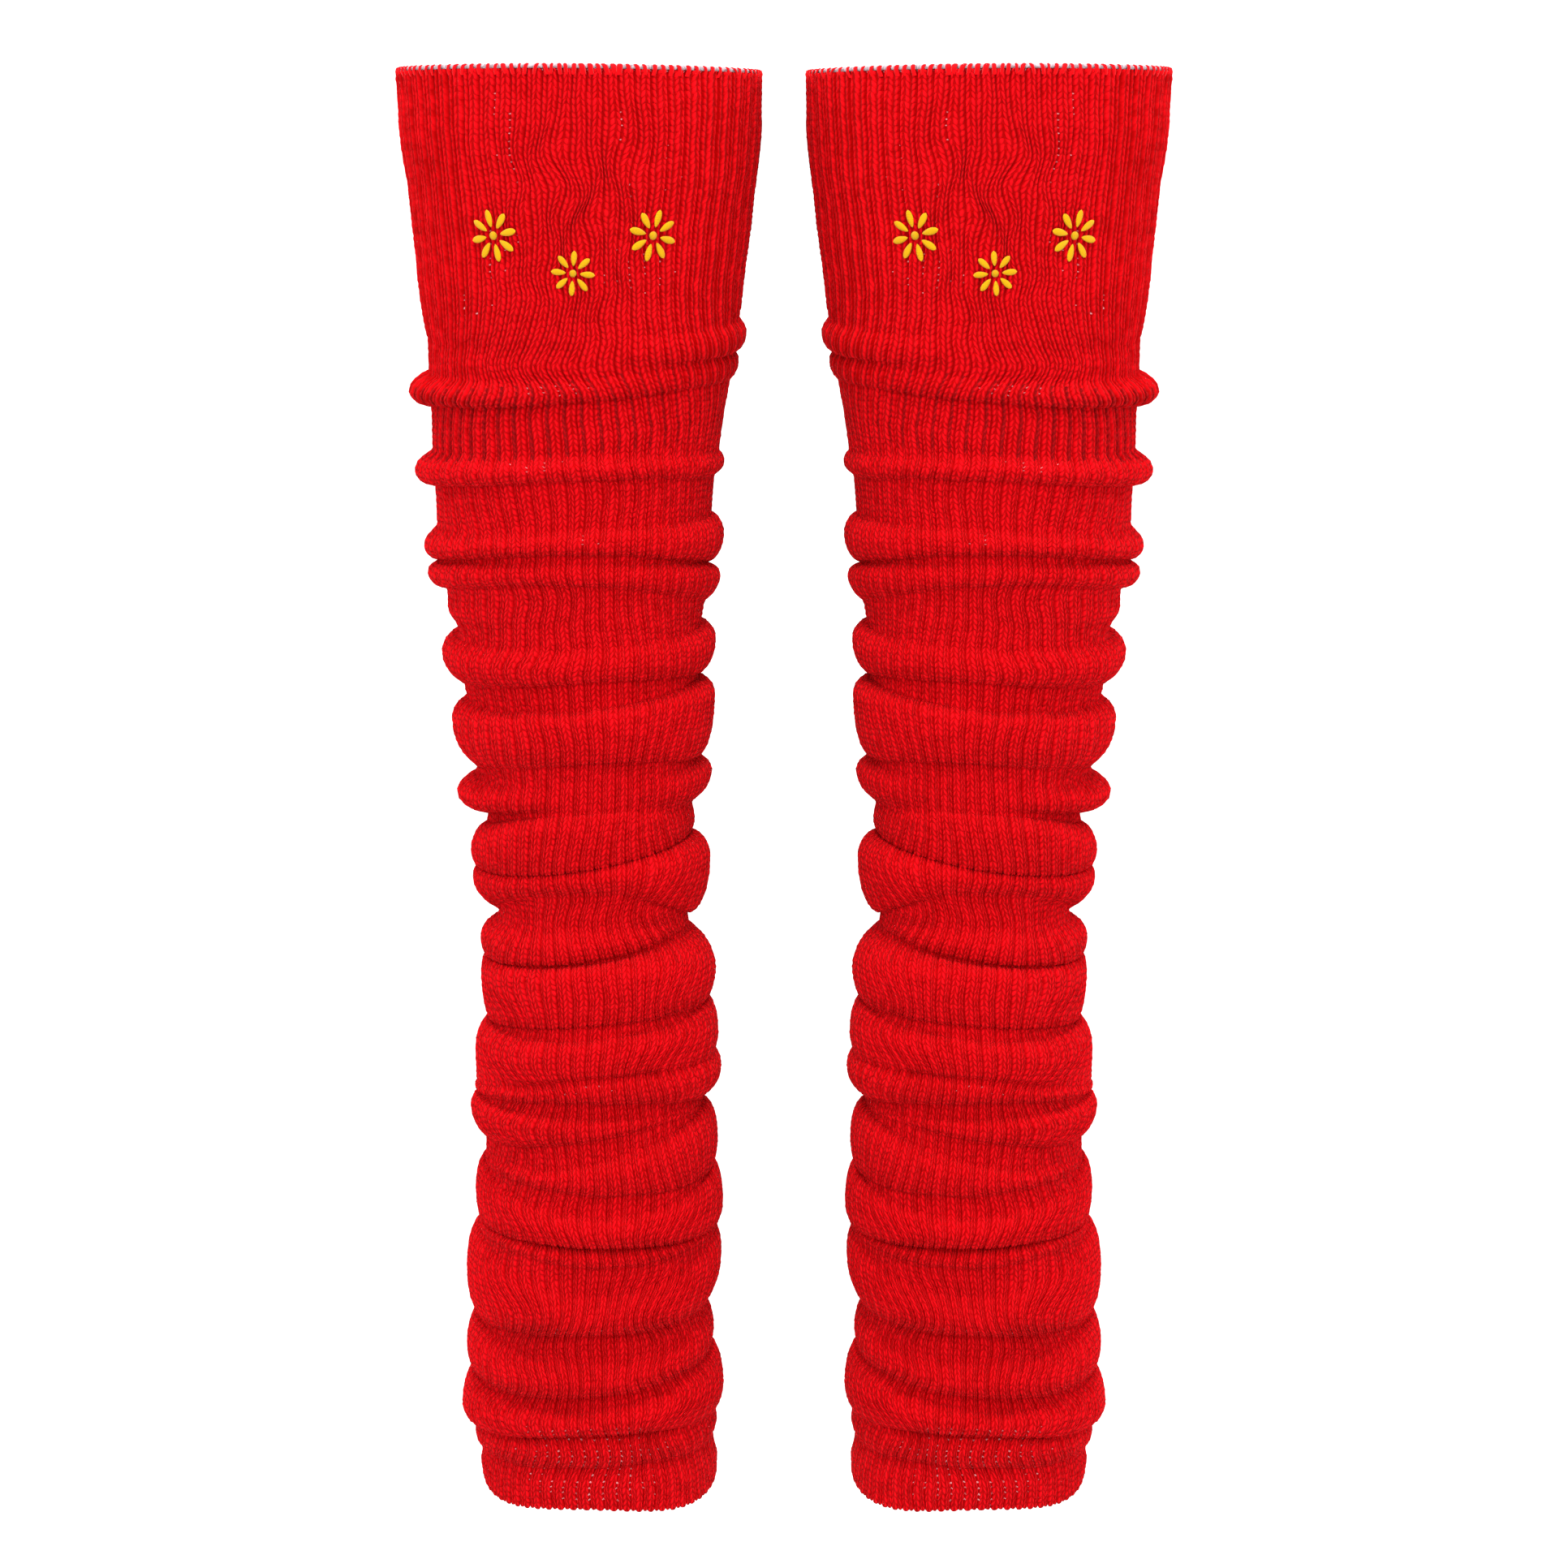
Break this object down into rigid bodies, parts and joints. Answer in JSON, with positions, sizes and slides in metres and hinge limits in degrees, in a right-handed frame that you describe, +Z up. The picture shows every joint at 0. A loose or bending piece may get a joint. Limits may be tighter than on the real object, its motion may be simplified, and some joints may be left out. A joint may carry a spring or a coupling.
{
  "type": "pair of leg warmers",
  "caption": "Pair of long rib-knit leg warmers, open at the rim and the hem, scrunched into folds and filled out as if worn.",
  "frame": {"origin": "midway between the two leg warmers, at the height of their top rims, where they are worn on the legs", "axes": "+Z up along the legs, +X to the right as seen from the front, -Y to the front"},
  "size_m": [0.3516, 0.1662, 0.6912],
  "materials": {
    "red_rib_knit": "matte rib knit of red yarn, the outer face",
    "white_knit_back": "matte white yarn, the inner face of the double knit",
    "yellow_yarn": "slightly glossy yellow embroidery yarn"
  },
  "bodies": {
    "root": {"left_leg_warmer": "red_rib_knit", "right_leg_warmer": "red_rib_knit"}
  },
  "joints": []
}
